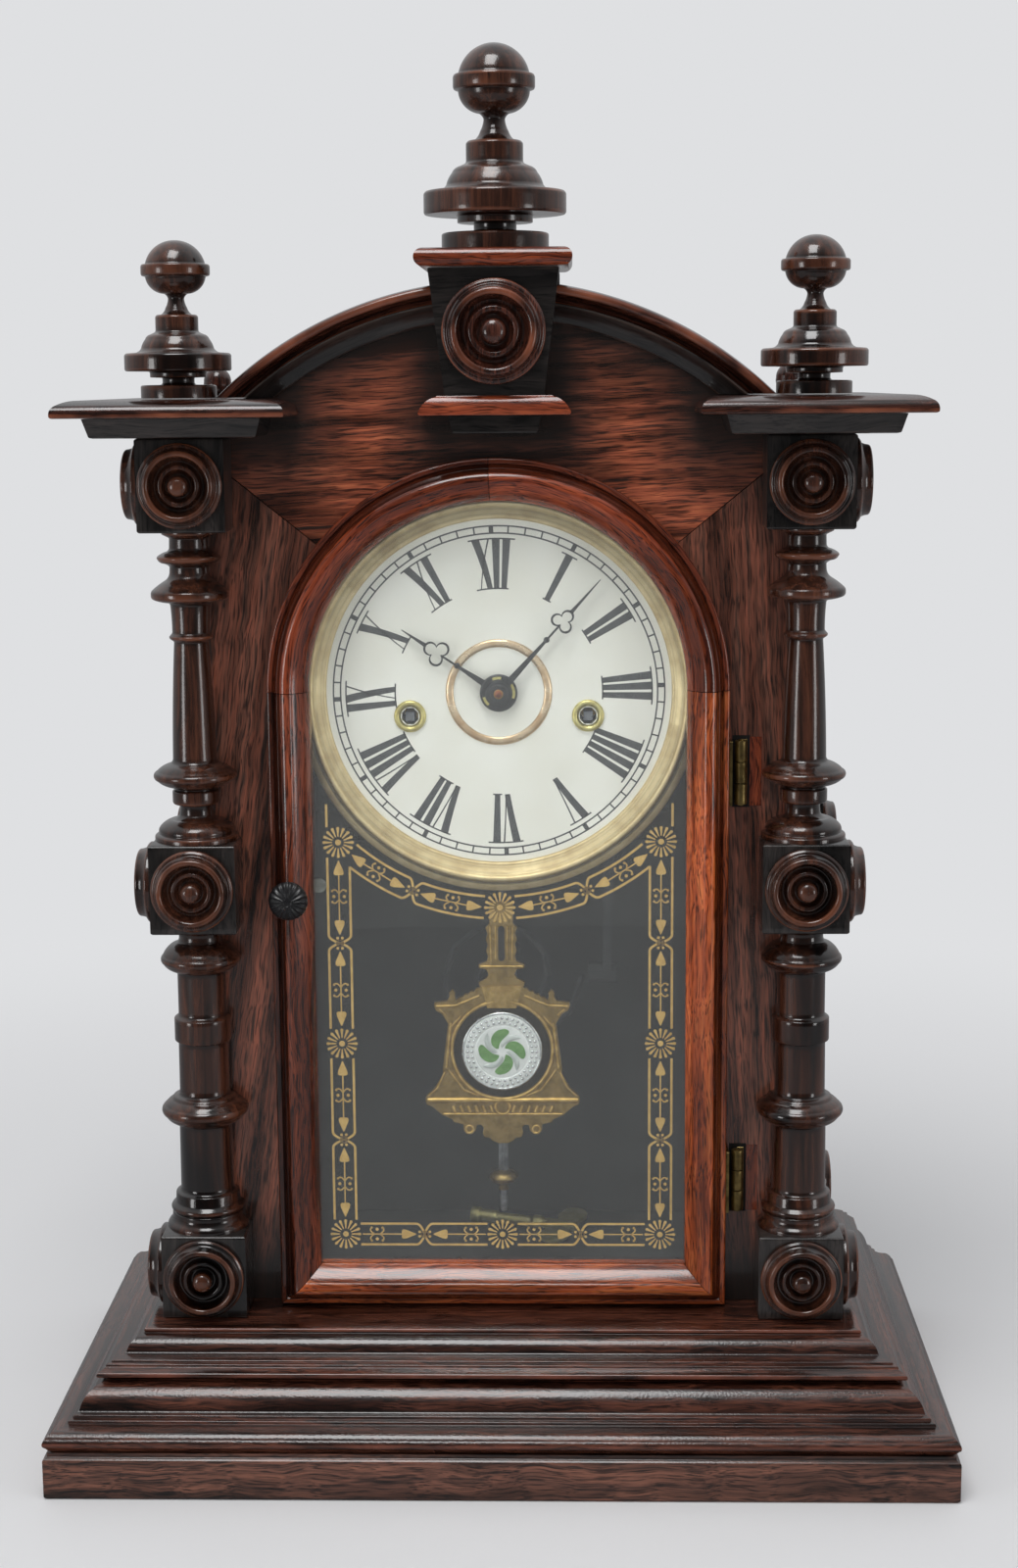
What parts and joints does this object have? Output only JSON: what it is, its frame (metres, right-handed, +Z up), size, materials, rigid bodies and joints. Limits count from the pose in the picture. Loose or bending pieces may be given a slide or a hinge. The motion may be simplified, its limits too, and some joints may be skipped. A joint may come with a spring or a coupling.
{
  "type": "shelf clock",
  "caption": "Wooden striking shelf clock with turned corner columns, ball finials, arched roof with keystone, moulded base, and a glazed arched door over dial and pendulum.",
  "frame": {"origin": "middle of the plinth's underside", "axes": "+Z up, the dial faces -Y, +X to the right as seen from the front"},
  "size_m": [0.3, 0.165, 0.468],
  "materials": {
    "rosewood": "glossy",
    "ebonised_wood": "glossy",
    "red_rosewood": "glossy",
    "inner_wood": "matte",
    "brass": "satin",
    "dial_paint": "satin",
    "glass": "clear",
    "bob_disc": "clear",
    "black_knob": "glossy",
    "black_steel": "satin",
    "spring_steel": "satin"
  },
  "bodies": {
    "case": {"base_plinth": "rosewood", "base_lower_moulding": "rosewood", "base_upper_moulding": "rosewood", "base_top_board": "rosewood", "front_board": "rosewood", "side_left": "rosewood", "side_right": "rosewood", "cornice_left": "rosewood", "cornice_right": "rosewood", "arch_cove_left": "ebonised_wood", "arch_cove_right": "ebonised_wood", "keystone": "ebonised_wood", "column_front_left": "ebonised_wood", "column_front_right": "ebonised_wood", "column_rear_left": "ebonised_wood", "column_rear_right": "ebonised_wood", "finial_centre": "ebonised_wood", "finial_left": "ebonised_wood", "finial_right": "ebonised_wood", "arch_roof": "red_rosewood", "keystone_cap": "red_rosewood", "keystone_rosette": "red_rosewood", "back_board": "inner_wood", "movement_rail_left": "inner_wood", "movement_rail_right": "inner_wood", "dial_bezel": "brass", "winding_grommet_time": "brass", "winding_grommet_strike": "brass", "movement_front_plate": "brass", "movement_back_plate": "brass", "winding_key": "brass", "hinge_case_leaf_upper": "brass", "hinge_case_leaf_lower": "brass", "dial_plate": "dial_paint", "gong": "black_steel", "time_mainspring": "spring_steel", "strike_mainspring": "spring_steel"},
    "door": {"door_arch": "red_rosewood", "door_stile_left": "red_rosewood", "door_stile_right": "red_rosewood", "door_rail": "red_rosewood", "door_glass": "glass", "hinge_door_leaf_upper": "brass", "hinge_door_leaf_lower": "brass"},
    "knob": {"door_knob": "black_knob"},
    "minute_train": {"centre_arbor": "brass", "minute_hand": "black_steel", "hand_nut": "black_steel"},
    "hour_train": {"hour_wheel": "brass", "hour_hand": "black_steel"},
    "minute_wheel_body": {"minute_wheel": "brass"},
    "time_winding": {"time_main_wheel": "brass"},
    "strike_winding": {"strike_main_wheel": "brass"},
    "escape": {"escape_wheel": "brass"},
    "verge_body": {"verge": "spring_steel"},
    "pendulum": {"pendulum_rod": "spring_steel", "pendulum_bob": "brass", "bob_glass": "bob_disc", "rating_nut": "brass"},
    "hammer": {"strike_hammer": "spring_steel"}
  },
  "joints": [
    {"name": "door_hinge", "type": "hinge", "parent": "case", "child": "door", "pos_m": [0.0803, -0.0295, 0.2602], "axis": [0, 0, 1], "range_deg": [0, 75]},
    {"name": "knob_turn", "type": "hinge", "parent": "door", "child": "knob", "pos_m": [-0.06953, -0.0388, 0.1924], "axis": [0, 1, 0], "range_deg": [0, 180]},
    {"name": "minute_hand_turn", "type": "hinge", "parent": "case", "child": "minute_train", "pos_m": [0, -0.0236, 0.2587], "axis": [0, 1, 0], "continuous": true},
    {"name": "hour_hand_turn", "type": "hinge", "parent": "case", "child": "hour_train", "pos_m": [0, -0.0221, 0.2587], "axis": [0, 1, 0], "continuous": true},
    {"name": "minute_wheel_turn", "type": "hinge", "parent": "case", "child": "minute_wheel_body", "pos_m": [0, -0.0109, 0.2707], "axis": [0, 1, 0], "continuous": true},
    {"name": "time_winding_turn", "type": "hinge", "parent": "case", "child": "time_winding", "pos_m": [0.0298, -0.0203, 0.2507], "axis": [0, 1, 0], "continuous": true},
    {"name": "strike_winding_turn", "type": "hinge", "parent": "case", "child": "strike_winding", "pos_m": [-0.0298, -0.0203, 0.2507], "axis": [0, 1, 0], "continuous": true},
    {"name": "escape_turn", "type": "hinge", "parent": "case", "child": "escape", "pos_m": [0, 0.003, 0.2222], "axis": [0, 1, 0], "continuous": true},
    {"name": "pendulum_swing", "type": "hinge", "parent": "case", "child": "pendulum", "pos_m": [0, -0.0129, 0.2402], "axis": [0, 1, 0], "range_deg": [-5, 5]},
    {"name": "verge_swing", "type": "hinge", "parent": "case", "child": "verge_body", "pos_m": [0, -0.0107, 0.2402], "axis": [0, 1, 0], "range_deg": [-5, 5]},
    {"name": "hammer_lift", "type": "hinge", "parent": "case", "child": "hammer", "pos_m": [0.038, 0.0155, 0.2182], "axis": [0, 1, 0], "range_deg": [-12, 0]}
  ],
  "couplings": [
    {"joint": "minute_wheel_turn", "follows": "minute_hand_turn", "ratio": -0.33333},
    {"joint": "hour_hand_turn", "follows": "minute_hand_turn", "ratio": 0.083333},
    {"joint": "verge_swing", "follows": "pendulum_swing", "ratio": 1}
  ]
}
